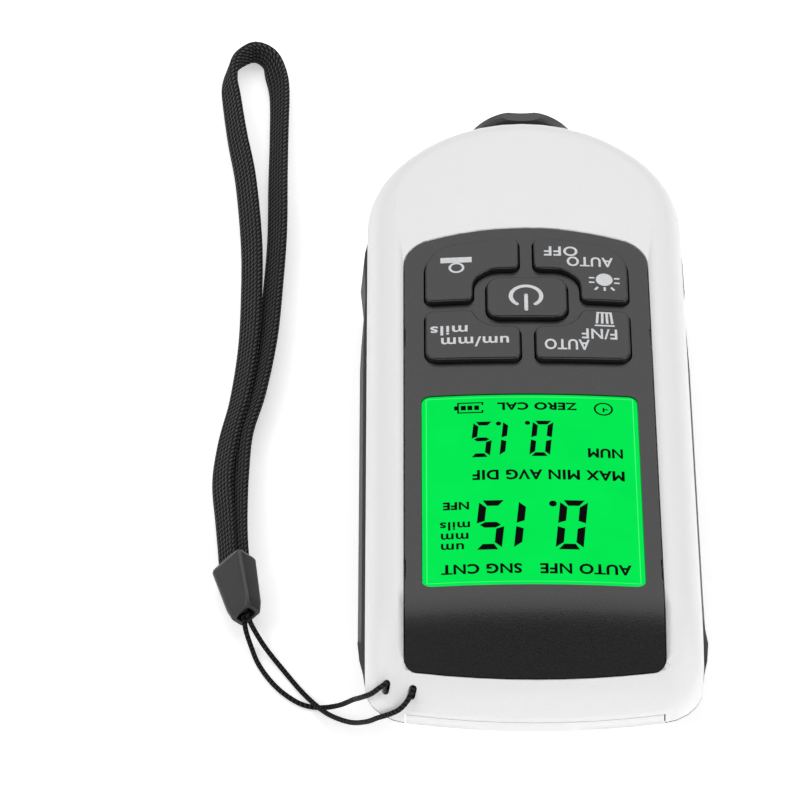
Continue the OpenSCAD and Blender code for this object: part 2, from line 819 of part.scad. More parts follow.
// Sprung sleeve: closed nose, open back, shoulder that stops it in the barrel
module probe_sleeve() {
    y0 = y_head - shoulder_back - shoulder_t;
    nose = y_tip - 0.5 - y0;
    color([0.3, 0.3, 0.31])
        along_probe(y0)
            difference() {
                union() {
                    rotate_extrude($fn = 64)
                        polygon([
                            [0, 0], [sleeve_r, 0], [sleeve_r, nose - 0.8], [sleeve_r - 0.8, nose], [0, nose]
                        ]);
                    cylinder(r = barrel_bore - 0.2, h = shoulder_t, $fn = 64);
                }
                translate([0, 0, -1])
                    cylinder(r = sleeve_r - 0.9, h = nose - 1, $fn = 48);
                cylinder(r = core_r + 0.4, h = nose + 1, $fn = 32);
            }
}

// Hard contact tip, domed
module probe_tip() {
    tip_r = core_r + 0.3;
    color("silver")
        along_probe(y_tip - 3.5)
            rotate_extrude($fn = 48)
                polygon(concat(
                    [[0, 0], [tip_r, 0]],
                    [for (a = [0:10:90]) [tip_r * cos(a), 2.9 + 0.6 * sin(a)]]
                ));
}

// Ferrite core behind the tip
module probe_core() {
    back = y_head - shoulder_back + 1;
    color([0.25, 0.23, 0.22])
        along_probe(back)
            cylinder(r = core_r, h = y_tip - 3.5 - back, $fn = 40);
}

// Bobbin with its two windings
module probe_coil() {
    back = y_head - shoulder_back + 2;
    len = y_tip - 4.6 - back;
    mid = len / 2;
    out = sleeve_r - 1.1;
    wound = out - 0.6;
    color([0.72, 0.42, 0.2])
        along_probe(back)
            rotate_extrude($fn = 48)
                polygon([
                    [core_r + 0.1, 0], [out, 0], [out, 1], [wound, 1], [wound, mid - 0.5], [out, mid - 0.5],
                    [out, mid + 0.5], [wound, mid + 0.5], [wound, len - 1], [out, len - 1], [out, len],
                    [core_r + 0.1, len]
                ]);
}

// Wire of radius wr wound as a helix along +Z, from radius r0 to r1
module coil_spring(r0, r1, wr, h, turns, steps, sides = 6) {
    n = turns * steps;
    pitch = (h - 2 * wr) / turns;
    function spot(k, j) =
        let (a = 360 * k / steps, b = 360 * j / sides, r = lerp(r0, r1, k / n) + wr * cos(b))
        [r * cos(a), r * sin(a), wr + pitch * k / steps + wr * sin(b)];
    polyhedron(
        [for (k = [0:n], j = [0:sides - 1]) spot(k, j)],
        concat(
            [for (k = [0:n - 1], j = [0:sides - 1])
                let (a = k * sides, b = a + sides, next = (j + 1) % sides)
                each quad(a + j, a + next, b + next, b + j)],
            [[for (j = [sides - 1:-1:0]) j]],
            [[for (j = [0:sides - 1]) n * sides + j]]
        )
    );
}

module probe_spring() {
    from = y_head - barrel_back + plug_t;
    len = barrel_back - shoulder_back - shoulder_t - plug_t;
    color("silver")
        along_probe(from)
            coil_spring(sleeve_r - 0.4, sleeve_r - 0.4, 0.4, len, 4, 14);
}

// Plug that closes the barrel and backs the spring
module barrel_plug() {
    color([0.24, 0.24, 0.25])
        along_probe(y_head - barrel_back)
            difference() {
                cylinder(r = barrel_bore - 0.1, h = plug_t, $fn = 64);
                translate([0, 0, -1])
                    cylinder(r = 1.6, h = plug_t + 2, $fn = 32);
            }
}

// Small cylindrical cell, button towards the given end
module cell(flip) {
    translate([0, y_cells + cell_len / 2, cell_z])
        rotate([flip ? 90 : -90, 0, 0])
            translate([0, 0, -cell_len / 2])
                rotate_extrude($fn = 64)
                    polygon([
                        [0, 0], [cell_r - 0.4, 0], [cell_r, 0.4], [cell_r, cell_len - 1.4],
                        [cell_r - 0.4, cell_len - 1], [1.9, cell_len - 1], [1.9, cell_len], [0, cell_len]
                    ]);
}

module battery_left() {
    color([0.3, 0.45, 0.6])
        translate([-cell_x, 0, 0])
            cell(false);
}

module battery_right() {
    color([0.3, 0.45, 0.6])
        translate([cell_x, 0, 0])
            cell(true);
}

// Conical contact springs at the strap end of the bay
module battery_springs() {
    color("silver")
        for (s = [-1, 1])
            translate([s * cell_x, y_cells - spring_len, cell_z])
                rotate([-90, 0, 0])
                    coil_spring(3.6, 2.2, 0.35, spring_len, 3, 12);
}

// Sheet contacts: one behind each spring, one across both buttons
module battery_contacts() {
    color("gainsboro") {
        for (s = [-1, 1])
            translate([s * cell_x - 4.2, y_bay, cell_z - 4])
                cube([8.4, contact_t, 8]);
        translate([-cell_x - 4.2, y_bay + bay_len - contact_t, cell_z - 3.4])
            cube([2 * cell_x + 8.4, contact_t, 6.8]);
    }
}

// Pan-head screws that hold the shells together, driven from below
module case_screws() {
    color("silver")
        for (p = [case_post_near, case_post_head])
            pair(p)
                difference() {
                    union() {
                        translate([0, 0, screw_seat - 1.2])
                            cylinder(r = screw_head_r, h = 1.2, $fn = 32);
                        translate([0, 0, screw_seat])
                            cylinder(r = screw_r, h = part_z + 6 - screw_seat, $fn = 32);
                    }
                    for (a = [0, 90])
                        rotate(a)
                            translate([-1.2, -0.25, screw_seat - 1.3])
                                cube([2.4, 0.5, 0.8]);
                }
}

// Small screws through the board into the faceplate's posts
module board_screws() {
    color("silver")
        for (p = board_posts)
            pair(p, board_z - board_t - 0.9)
                union() {
                    cylinder(r = 1.3, h = 0.9, $fn = 24);
                    cylinder(r = board_screw_r, h = board_t + 3.4, $fn = 24);
                }
}

// Rounded plate of width w and thickness t across the ferrule, d behind its rear end and h thick
module ferrule_plate(d, w, t, h) {
    translate([0, -d, 0])
        rotate([90, 0, 0])
            linear_extrude(h)
                polygon(rect_pts(t, w, min(ferrule_round, t / 4)));
}

// Tapered ferrule that gathers the braid and the cord, leaning with the braid
module strap_ferrule() {
    nose = ferrule_sections[len(ferrule_sections) - 1][0];
    color([0.25, 0.25, 0.26])
        translate(ferrule_rear)
            rotate([0, ferrule_lean, ferrule_turn])
                difference() {
                    hull()
                        for (s = ferrule_sections)
                            ferrule_plate(s[0], s[1], s[2], eps);
                    ferrule_plate(-1, ferrule_mouth[0], ferrule_mouth[1], 1 + ferrule_depth);
                    ferrule_plate(nose - ferrule_depth, ferrule_nose[0], ferrule_nose[1], 1 + ferrule_depth);
                }
}

// Direction of a route at point i, level
function heading(route, i) =
    let (d = route[min(i + 1, len(route) - 1)] - route[max(i - 1, 0)], h = [d.x, d.y]) h / norm(h);

// How far the braid is gathered at y: 1 in the ferrule, 0 where it lies free
function gathered(y) = 1 - ease((y - braid_route[0].y) / gather_len);

// Flat braid swept along its route, standing on its edge and leaning
module strap_braid() {
    n = len(braid_route);
    half = [
        [0.5, 0.3], [0.38, 0.5], [-0.38, 0.5], [-0.5, 0.3],
        [-0.5, -0.3], [-0.38, -0.5], [0.38, -0.5], [0.5, -0.3]
    ];
    function spot(i, j) =
        let (
            p = braid_route[i],
            h = heading(braid_route, i),
            side = [h.y, -h.x],
            share = 1 - gather_in * gathered(p.y),
            u = half[j].x * braid_w * share,
            v = half[j].y * braid_t * share,
            rest = braid_w / 2 * cos(p.z) + braid_t / 2 * abs(sin(p.z)),
            rise = lerp(rest, ferrule_rear.z, gathered(p.y)),
            across = u * sin(p.z) + v * cos(p.z)
        )
        [p.x + side.x * across, p.y + side.y * across, rise + u * cos(p.z) - v * sin(p.z)];
    color([0.16, 0.16, 0.17])
        polyhedron(
            [for (i = [0:n - 1], j = [0:7]) spot(i, j)],
            concat(
                [for (i = [0:n - 2], j = [0:7])
                    each quad(i * 8 + j, i * 8 + (j + 1) % 8, (i + 1) * 8 + (j + 1) % 8, (i + 1) * 8 + j)],
                [[for (j = [7:-1:0]) j]],
                [[for (j = [0:7]) (n - 1) * 8 + j]]
            )
        );
}

// Thin round cord swept along its route
module strap_cord() {
    n = len(cord_route);
    function spot(i, j) =
        let (
            d = cord_route[min(i + 1, n - 1)] - cord_route[max(i - 1, 0)],
            f = d / norm(d),
            side = cross(f, [0, 0, 1]) / norm(cross(f, [0, 0, 1])),
            up = cross(side, f),
            a = 45 * j
        )
        cord_route[i] + cord_d / 2 * (side * cos(a) + up * sin(a));
    color([0.1, 0.1, 0.1])
        polyhedron(
            [for (i = [0:n - 1], j = [0:7]) spot(i, j)],
            concat(
                [for (i = [0:n - 2], j = [0:7])
                    each quad(i * 8 + j, i * 8 + (j + 1) % 8, (i + 1) * 8 + (j + 1) % 8, (i + 1) * 8 + j)],
                [[for (j = [7:-1:0]) j]],
                [[for (j = [0:7]) (n - 1) * 8 + j]]
            )
        );
}

front_case();
back_case();
battery_cover();
faceplate();
display_window();
lcd_cell();
backlight();
lcd_frame();
contact_strip();
main_board();
board_chips();
buzzer();
keypad_mat();
key_power();
key_zero();
key_light();
key_unit();
key_mode();
probe_collar();
probe_sleeve();
probe_tip();
probe_core();
probe_coil();
probe_spring();
barrel_plug();
battery_left();
battery_right();
battery_springs();
battery_contacts();
case_screws();
board_screws();
strap_ferrule();
strap_braid();
strap_cord();
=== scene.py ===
import math

import bmesh
import bpy
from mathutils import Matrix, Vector


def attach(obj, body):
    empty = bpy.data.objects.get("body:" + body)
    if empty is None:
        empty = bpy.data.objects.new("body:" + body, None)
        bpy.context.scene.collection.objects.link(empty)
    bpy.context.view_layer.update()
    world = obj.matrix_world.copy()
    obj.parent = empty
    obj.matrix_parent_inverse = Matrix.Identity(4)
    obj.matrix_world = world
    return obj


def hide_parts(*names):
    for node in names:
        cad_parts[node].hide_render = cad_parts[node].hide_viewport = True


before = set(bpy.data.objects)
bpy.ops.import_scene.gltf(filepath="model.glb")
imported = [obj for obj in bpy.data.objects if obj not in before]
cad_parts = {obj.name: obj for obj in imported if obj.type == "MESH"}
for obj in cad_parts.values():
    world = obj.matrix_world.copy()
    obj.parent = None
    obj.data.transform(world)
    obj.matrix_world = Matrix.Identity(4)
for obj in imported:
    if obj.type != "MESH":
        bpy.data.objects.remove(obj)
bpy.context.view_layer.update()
scene = bpy.context.scene
scene.view_settings.view_transform = "Standard"
scene.view_settings.look = "None"

# Camera
# A long lens looks down on the gauge from the strap end. Its axis meets the face plane
# left of the body, so that the strap shares the picture.
look_down = 42
lens = bpy.data.cameras.new("camera")
lens.lens = 249.9
lens.sensor_width = 36
lens.clip_end = 20
camera = bpy.data.objects.new("camera", lens)
camera.location = (-0.02017, -0.65136, 0.60587)
camera.rotation_euler = (math.radians(90 - look_down), 0, 0)
scene.collection.objects.link(camera)
scene.camera = camera

# Floor and light
# A plain pale ground that runs out of the picture and a wide soft light beyond the head.
# Weaker lights stand to both sides and at the near end, in a pale surround that darkens overhead.
bpy.ops.mesh.primitive_plane_add(size=6, location=(0, 1.2, 0))
floor = bpy.context.object
floor.name = "floor"
ground = bpy.data.materials.new("ground")
ground.use_nodes = True
shader = ground.node_tree.nodes["Principled BSDF"]
shader.inputs["Base Color"].default_value = (0.93, 0.93, 0.93, 1)
shader.inputs["Roughness"].default_value = 0.9
shader.inputs["Specular IOR Level"].default_value = 0.0
shader.inputs["Emission Color"].default_value = (1, 1, 1, 1)
shader.inputs["Emission Strength"].default_value = 0.45
floor.data.materials.append(ground)

# Every light is aimed at the origin, under the middle of the gauge.
for name, place, size, power in (
    ("far_light", (0.0, 0.6, 0.95), (1.5, 1.1), 7.3),
    ("left_light", (-0.85, -0.15, 0.75), (0.7, 0.7), 4.1),
    ("right_light", (0.9, -0.3, 0.6), (0.7, 0.7), 4.3),
    ("near_light", (0.0, -1.3, 0.6), (1.0, 0.5), 4.2),
):
    light = bpy.data.lights.new(name, "AREA")
    light.shape = "RECTANGLE"
    light.size, light.size_y = size
    light.energy = power
    lamp = bpy.data.objects.new(name, light)
    lamp.location = place
    lamp.rotation_euler = (-Vector(place)).to_track_quat("-Z", "Y").to_euler()
    scene.collection.objects.link(lamp)

world = bpy.data.worlds.new("surround")
scene.world = world
world.use_nodes = True
sky = world.node_tree
sky_place = sky.nodes.new("ShaderNodeTexCoord")
sky_split = sky.nodes.new("ShaderNodeSeparateXYZ")
sky_tone = sky.nodes.new("ShaderNodeMapRange")
sky_tone.inputs["From Min"].default_value = 0.4
sky_tone.inputs["To Min"].default_value = 0.38
sky_tone.inputs["To Max"].default_value = 0.03
sky.links.new(sky_place.outputs["Generated"], sky_split.inputs["Vector"])
sky.links.new(sky_split.outputs["Z"], sky_tone.inputs["Value"])
sky.links.new(sky_tone.outputs["Result"], sky.nodes["Background"].inputs["Strength"])
sky.nodes["Background"].inputs["Color"].default_value = (1, 1, 1, 1)

# Shells and battery cover
# Two injection-moulded shells, screwed together from below: a light satin upper one, with the sliding
# cover in the same plastic, and a dark soft-touch lower one.
# A fine moulded grain, which the other plastics share, breaks up their gloss.
grain = bpy.data.node_groups.new("grain", "ShaderNodeTree")
grain.interface.new_socket("Scale", in_out="INPUT", socket_type="NodeSocketFloat")
grain.interface.new_socket("Depth", in_out="INPUT", socket_type="NodeSocketFloat")
grain.interface.new_socket("Normal", in_out="OUTPUT", socket_type="NodeSocketVector")
grain.interface.new_socket("Mask", in_out="OUTPUT", socket_type="NodeSocketFloat")
g_in = grain.nodes.new("NodeGroupInput")
g_out = grain.nodes.new("NodeGroupOutput")
g_place = grain.nodes.new("ShaderNodeTexCoord")
g_noise = grain.nodes.new("ShaderNodeTexNoise")
g_noise.inputs["Detail"].default_value = 3
g_bump = grain.nodes.new("ShaderNodeBump")
g_bump.inputs["Distance"].default_value = 0.00005
grain.links.new(g_place.outputs["Object"], g_noise.inputs["Vector"])
grain.links.new(g_in.outputs["Scale"], g_noise.inputs["Scale"])
grain.links.new(g_in.outputs["Depth"], g_bump.inputs["Strength"])
grain.links.new(g_noise.outputs["Fac"], g_bump.inputs["Height"])
grain.links.new(g_bump.outputs["Normal"], g_out.inputs["Normal"])
grain.links.new(g_noise.outputs["Fac"], g_out.inputs["Mask"])


def mottled(tree, colour, scale, depth, stops):
    """Grain and a colour that follows it, for a material's tree; each stop pairs a level of the grain with
    a share of the colour. Gives the grain's node and the colour's socket."""
    group = tree.nodes.new("ShaderNodeGroup")
    group.node_tree = grain
    group.inputs["Scale"].default_value = scale
    group.inputs["Depth"].default_value = depth
    tone = tree.nodes.new("ShaderNodeValToRGB")
    for stop, (level, share) in zip(tone.color_ramp.elements, stops):
        stop.position = level
        stop.color = (*(share * c for c in colour), 1)
    tree.links.new(group.outputs["Mask"], tone.inputs["Fac"])
    return group, tone.outputs["Color"]


def plastic(name, colour, rough, scale=2600, depth=0.2, speckle=0.06, specular=0.5, metal=0.0):
    """Moulded, printed or turned surface; the grain gives its normal and varies its colour by speckle."""
    made = bpy.data.materials.new(name)
    made.use_nodes = True
    tree = made.node_tree
    base = tree.nodes["Principled BSDF"]
    base.inputs["Roughness"].default_value = rough
    base.inputs["Specular IOR Level"].default_value = specular
    base.inputs["Metallic"].default_value = metal
    group, tone = mottled(tree, colour, scale, depth, ((0.35, 1 - speckle), (0.65, 1 + speckle)))
    tree.links.new(tone, base.inputs["Base Color"])
    tree.links.new(group.outputs["Normal"], base.inputs["Normal"])
    return made


def skin(node, body, material, bevel=0.0, angle=30, crest=0.0):
    """Copy of a CAD node with its seams merged and its round faces smooth; bevel eases the edges that are
    sharper than angle, crest rounds only those round its top."""
    seam, nearly_flat, crest_depth = 2e-6, math.radians(0.2), 0.0008
    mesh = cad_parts[node].data.copy()
    bm = bmesh.new()
    bm.from_mesh(mesh)
    bmesh.ops.remove_doubles(bm, verts=bm.verts, dist=seam)
    bmesh.ops.dissolve_limit(bm, angle_limit=nearly_flat, verts=bm.verts, edges=bm.edges)
    top = max(v.co.z for v in bm.verts)
    for width, depth, segments, clamp in ((bevel, math.inf, 2, True), (crest, crest_depth, 4, False)):
        if width:
            edges = [
                e for e in bm.edges
                if len(e.link_faces) == 2 and e.calc_face_angle(0) > math.radians(angle)
                and min(v.co.z for v in e.verts) > top - depth
            ]
            bmesh.ops.bevel(
                bm, geom=edges, offset=width, offset_type="OFFSET", segments=segments, profile=0.5,
                affect="EDGES", clamp_overlap=clamp, material=-1,
            )
    bm.to_mesh(mesh)
    bm.free()
    mesh.polygons.foreach_set("use_smooth", [True] * len(mesh.polygons))
    mesh.set_sharp_from_angle(angle=math.radians(angle))
    mesh.materials.clear()
    mesh.materials.append(material)
    piece = bpy.data.objects.new(node + "_skin", mesh)
    scene.collection.objects.link(piece)
    weigh = piece.modifiers.new("even", "WEIGHTED_NORMAL")
    weigh.keep_sharp = True
    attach(piece, body)
    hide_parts(node)
    return piece


white = plastic("white_satin", (0.80, 0.80, 0.80), rough=0.42, depth=0.25, speckle=0.01)
dark = plastic("soft_dark", (0.022, 0.022, 0.024), rough=0.6, scale=3000, depth=0.3)
skin("front_case", "case", white)
skin("back_case", "case", dark)
skin("battery_cover", "cover", white)

# Faceplate and keys
# A dark grey plate with a speckled moulded texture, set into a ledge of the upper shell.
# Five rubber keys of the same tone come up through it; their top edges are well rounded.
plate_grey = plastic(
    "plate_grey", (0.008, 0.008, 0.008), rough=0.34, scale=3500, depth=0.5, speckle=0.4, specular=0.57,
)
key_grey = plastic(
    "key_grey", (0.009, 0.009, 0.009), rough=0.34, scale=3500, depth=0.35, speckle=0.3, specular=0.55,
)
skin("faceplate", "case", plate_grey)
for key in ("power", "zero", "light", "unit", "mode"):
    skin("key_" + key, key + "_key", key_grey, crest=0.00035)

# Display
# A bent window of clear plastic over a liquid-crystal cell that a green light guide lights from behind.
# The light fills the window edge to edge, so its face is what glows; the dark segments lie on it.
# Heights and places on the face are in millimetres: its crown, its bend, and the ink's height over it.
case_top, crown_r = 27, 210
bend_y, bend_len, bend_slope = -51.2, 6, math.tan(math.radians(26))
on_glass = -0.18


def lit(name, colour):
    """Surface that glows in a colour, a little unevenly, as a light guide does."""
    made = bpy.data.materials.new(name)
    made.use_nodes = True
    tree = made.node_tree
    base = tree.nodes["Principled BSDF"]
    base.inputs["Base Color"].default_value = (0.0, 0.01, 0.0, 1)
    base.inputs["Roughness"].default_value = 0.25
    base.inputs["Specular IOR Level"].default_value = 0.0
    base.inputs["Emission Strength"].default_value = 1.0
    tone = mottled(tree, colour, scale=120, depth=0.0, stops=((0.3, 0.96), (0.7, 1.02)))[1]
    tree.links.new(tone, base.inputs["Emission Color"])
    return made


def face(x, y):
    """Height of the case's face over the plan, in millimetres: a crown that bends down at the strap end."""
    past = max(0.0, bend_y - y)
    bent = past * past / (2 * bend_len) if past < bend_len else past - bend_len / 2
    return case_top - crown_r + math.sqrt(crown_r * crown_r - x * x) - bend_slope * bent


def printed(name, body, material, bm):
    """Piece of a body from a flat bmesh, which is used up."""
    mesh = bpy.data.meshes.new(name)
    bm.to_mesh(mesh)
    bm.free()
    mesh.materials.append(material)
    piece = bpy.data.objects.new(name, mesh)
    scene.collection.objects.link(piece)
    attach(piece, body)


def flat_piece(name, body, material, shapes, lift):
    """One mesh of flat outlines, in millimetres in plan, laid at a height above the face."""
    bm = bmesh.new()
    for shape in shapes:
        bm.faces.new([bm.verts.new((x, y, 0)) for x, y in shape])
    bmesh.ops.triangulate(bm, faces=bm.faces)
    for v in bm.verts:
        v.co = Vector((v.co.x, v.co.y, face(v.co.x, v.co.y) + lift)) / 1000
    bmesh.ops.recalc_face_normals(bm, faces=bm.faces)
    for f in bm.faces:
        if f.normal.z < 0:
            f.normal_flip()
    printed(name, body, material, bm)


def lettering(name, body, material, words, lift, weight):
    """Words read from the probe's end, each as text, middle x and y, width and height in millimetres;
    weight is how far their strokes are let out, less than in full at the sharpest corners."""
    seam, corner_limit = 0.001, 0.4
    bm = bmesh.new()
    for text, x, y, w, h in words:
        curve = bpy.data.curves.new(name, "FONT")
        curve.body = text
        curve.resolution_u = 4
        curve.space_character = 1.08
        shown = bpy.data.objects.new(name, curve)
        scene.collection.objects.link(shown)
        bpy.context.view_layer.update()
        flat = bpy.data.meshes.new_from_object(shown.evaluated_get(bpy.context.evaluated_depsgraph_get()))
        bpy.data.objects.remove(shown)
        bpy.data.curves.remove(curve)
        xs = [v.co.x for v in flat.vertices]
        ys = [v.co.y for v in flat.vertices]
        sx, sy = (w - 2 * weight) / (max(xs) - min(xs)), (h - 2 * weight) / (max(ys) - min(ys))
        mx, my = (max(xs) + min(xs)) / 2, (max(ys) + min(ys)) / 2
        for v in flat.vertices:
            v.co = (x - (v.co.x - mx) * sx, y - (v.co.y - my) * sy, 0)
        bm.from_mesh(flat)
        bpy.data.meshes.remove(flat)
    bmesh.ops.remove_doubles(bm, verts=bm.verts, dist=seam)
    bm.normal_update()
    moves = []
    for v in bm.verts:
        outward = Vector()
        edges = [e for e in v.link_edges if e.is_boundary]
        for e in edges:
            loop = e.link_loops[0]
            run_on = loop.link_loop_next.vert.co - loop.vert.co
            outward += run_on.cross(loop.face.normal).normalized() / len(edges)
        moves.append(outward * weight / max(outward.length_squared, corner_limit))
    for v, move in zip(bm.verts, moves):
        x, y = v.co.x + move.x, v.co.y + move.y
        v.co = Vector((x, y, face(x, y) + lift)) / 1000
    printed(name, body, material, bm)


def disc(x, y, rx, ry, n=24):
    """Oval outline of n corners round a middle."""
    return [(x + rx * math.cos(math.tau * k / n), y + ry * math.sin(math.tau * k / n)) for k in range(n)]


def box_shape(x0, y0, x1, y1):
    """Outline of a box between two opposite corners."""
    return [(x0, y0), (x1, y0), (x1, y1), (x0, y1)]


def ring_shapes(x, y, rx, ry, t, a0=0, a1=360, n=40):
    """Short quads round an oval ring of thickness t, from angle a0 to a1."""
    out = []
    for k in range(n):
        p, q = (math.radians(a0 + (a1 - a0) * m / n) for m in (k, k + 1))
        out.append(
            [
                (x + rx * math.cos(p), y + ry * math.sin(p)), (x + rx * math.cos(q), y + ry * math.sin(q)),
                (x + (rx - t) * math.cos(q), y + (ry - t) * math.sin(q)),
                (x + (rx - t) * math.cos(p), y + (ry - t) * math.sin(p)),
            ]
        )
    return out


def figure(names, x, y, w, h, tv, th, slant=0.09):
    """Seven-bar figure read from the probe's end; names are its dark bars of a to g, tv and th bar widths."""
    mid, inner, tip = h / 2, 0.93 * tv, 0.4 * tv
    end, root = 0.37 * th, 1.28 * th
    waist, neck = 0.29 * th, 0.7 * th
    bars = {
        "a": [(tip, h), (w - tip, h), (w - tv, h - th), (tv, h - th)],
        "d": [(tv, th), (w - tv, th), (w - tip, 0), (tip, 0)],
        "g": [(tip, mid), (tv, mid + th / 2), (w - tv, mid + th / 2), (w - tip, mid),
              (w - tv, mid - th / 2), (tv, mid - th / 2)],
        "f": [(0, h - end), (inner, h - root), (inner, mid + neck), (0, mid + waist)],
        "e": [(0, mid - waist), (inner, mid - neck), (inner, root), (0, end)],
        "b": [(w, h - end), (w, mid + waist), (w - inner, mid + neck), (w - inner, h - root)],
        "c": [(w, mid - waist), (w, end), (w - inner, root), (w - inner, mid - neck)],
    }
    return [
        [(x - (px - w / 2 + slant * (py - h / 2)), y - (py - h / 2)) for px, py in bars[name]]
        for name in names
    ]


glow = lit("display_green", (0.0015, 0.82, 0.088))
skin("display_window", "case", glow, bevel=0.0002)

# The large and the small figures with their stops, the clock and the battery sign
ink = plastic("display_ink", (0.002, 0.002, 0.002), rough=0.6, specular=0.02)
shapes = []
for names, x in (("abcdef", 5.97), ("bc", -0.34), ("acdfg", -6.41)):
    shapes += figure(names, x, -36.5, w=4.25, h=10.9, tv=1.27, th=1.24)
shapes += [disc(3.18, -31.85, 0.6, 0.66)]
for names, x, y, w in (("abcdef", 1.7, -17.1, 3.2), ("bc", -2.9, -17.1, 3.2), ("acdfg", -7.54, -17.2, 3.15)):
    shapes += figure(names, x, y, w, h=8.1, tv=0.9, th=0.86)
shapes += [disc(x, y, 0.42, 0.46) for x, y in ((-4.89, -13.65), (-0.4, -13.55))]
clock_x, clock_y = 11.48, -10.05
shapes += ring_shapes(clock_x, clock_y, 1.5, 1.5, 0.3)
shapes += [
    box_shape(clock_x - 0.12, clock_y - 0.7, clock_x + 0.14, clock_y + 0.3),
    box_shape(clock_x, clock_y - 0.25, clock_x + 0.7, clock_y),
]
battery_x0, battery_x1, battery_y0, battery_y1, battery_line = -11.27, -7.2, -11.1, -8.6, 0.27
shapes += [
    box_shape(battery_x0, battery_y0, battery_x0 + battery_line, battery_y1),
    box_shape(battery_x0, battery_y1 - battery_line, battery_x1, battery_y1),
    box_shape(battery_x0, battery_y0, battery_x1, battery_y0 + battery_line),
    box_shape(battery_x0 - 0.48, battery_y0 + 0.75, battery_x0, battery_y1 - 0.8),
    box_shape(battery_x1 - battery_line, battery_y0, battery_x1, battery_y0 + 0.7),
    box_shape(battery_x1 - battery_line, battery_y1 - 0.7, battery_x1, battery_y1),
]
for x, w in ((-10.72, 0.8), (-9.67, 0.75), (-8.62, 0.75)):
    shapes += [box_shape(x, battery_y0 + 0.7, x + w, battery_y1 - 0.75)]
flat_piece("display_figures", "case", ink, shapes, on_glass)

lettering(
    "display_words", "case", ink,
    [
        ("ZERO CAL", 1.18, -9.65, 12.4, 1.8), ("NUM", 11.53, -20.2, 5.4, 2.15),
        ("MAX MIN AVG DIF", 2.65, -25.3, 23.4, 2.3), ("NFE", -11.62, -32.1, 4.0, 1.75),
        ("SNG CNT", -7.87, -46.1, 12.2, 2.2), ("AUTO NFE", 7.88, -46.15, 13.8, 2.3),
    ],
    on_glass, weight=0.1,
)
lettering(
    "display_units", "case", ink,
    [("mils", -11.82, -36.55, 4.6, 1.9), ("mm", -11.87, -38.8, 4.2, 1.35), ("um", -12.22, -41.05, 3.5, 1.4)],
    on_glass, weight=0.06,
)

# A fine bright line round the lit field, in short parts where it runs over the crown
rim_x, rim_y0, rim_y1, rim_line, rim_parts = 16.1, -49.0, -7.5, 0.12, 16
rim = [box_shape(x - rim_line / 2, rim_y0, x + rim_line / 2, rim_y1) for x in (-rim_x, rim_x)]
for k in range(rim_parts):
    x0, x1 = (rim_x * (2 * m / rim_parts - 1) for m in (k, k + 1))
    rim += [box_shape(x0, rim_y1 - rim_line, x1, rim_y1), box_shape(x0, rim_y0, x1, rim_y0 + rim_line)]
pale = lit("display_line", (0.07, 1.0, 0.24))
flat_piece("display_line", "case", pale, rim, on_glass - 0.005)

# Key legends
# Pale ink pad-printed on the key tops: words, a power sign, a probe on a plate, a lamp and a bin.
# All are read from the probe's end, as the gauge is held over the work.
print_white = plastic("legend_white", (0.62, 0.63, 0.65), rough=0.5)
on_key, bold = 0.82, 0.06
for name, body, words in (
    ("light_words", "light_key", [("OFF", 5.6, 26.4, 5.4, 2.35), ("AUTO", 10.2, 23.95, 7.4, 2.35)]),
    ("unit_words", "unit_key", [("mils", -12.45, 7.45, 5.9, 2.25), ("um/mm", -8.35, 4.6, 10.7, 2.35)]),
    ("mode_words", "mode_key", [("F/NF", 11.3, 6.55, 5.6, 2.45), ("AUTO", 6.15, 3.85, 7.1, 2.5)]),
):
    lettering(name, body, print_white, words, on_key, bold)

power_x, power_y, power_r, power_line, power_ends = -0.15, 15.35, 2.75, 0.66, (-52, 232)
bar_half, bar_y0, bar_y1 = 0.3, 12.1, 15.6
power_sign = ring_shapes(power_x, power_y, power_r, power_r, power_line, *power_ends)
power_sign += [box_shape(power_x - bar_half, bar_y0, power_x + bar_half, bar_y1)]
power_sign += [disc(power_x, y, bar_half, bar_half) for y in (bar_y0, bar_y1)]
for angle in power_ends:
    x, y = ((power_r - power_line / 2) * f(math.radians(angle)) for f in (math.cos, math.sin))
    power_sign += [disc(power_x + x, power_y + y, power_line / 2, power_line / 2)]
flat_piece("power_symbol", "power_key", print_white, power_sign, on_key)

probe_sign = ring_shapes(-11.15, 22.55, 1.27, 1.27, 0.4) + [box_shape(-13.7, 23.8, -8.7, 25.1)]
flat_piece("zero_symbol", "zero_key", print_white, probe_sign, on_key)

lamp_x, ray_len, ray_line = 12.4, 0.9, 0.35
lamp_sign = [disc(lamp_x, 19.7, 1.35, 1.5)]
for x in (9.95, 13.95):
    lamp_sign += [box_shape(x, y, x + ray_len, y + ray_line) for y in (19.9, 18.8)]
lamp_sign += [box_shape(12.25, 17.0, 12.25 + ray_line, 17.0 + ray_len)]
slanting_ray = ((1.7, 17.3), (1.4, 17.05), (0.9, 17.75), (1.2, 18.0))
lamp_sign += [[(lamp_x + side * x, y) for x, y in slanting_ray] for side in (-1, 1)]
flat_piece("light_symbol", "light_key", print_white, lamp_sign, on_key)

bin_top, bin_floor, stave = 9.05, 11.8, 0.4
bin_sign = [box_shape(10.6, 8.4, 13.75, 8.75), box_shape(10.95, 11.5, 13.35, bin_floor)]
bin_sign += [
    [(x0, bin_top), (x0 + stave, bin_top), (x1 + stave, bin_floor), (x1, bin_floor)]
    for x0, x1 in ((10.75, 10.95), (11.6, 11.66), (12.4, 12.34), (13.2, 12.95))
]
flat_piece("mode_symbol", "mode_key", print_white, bin_sign, on_key)

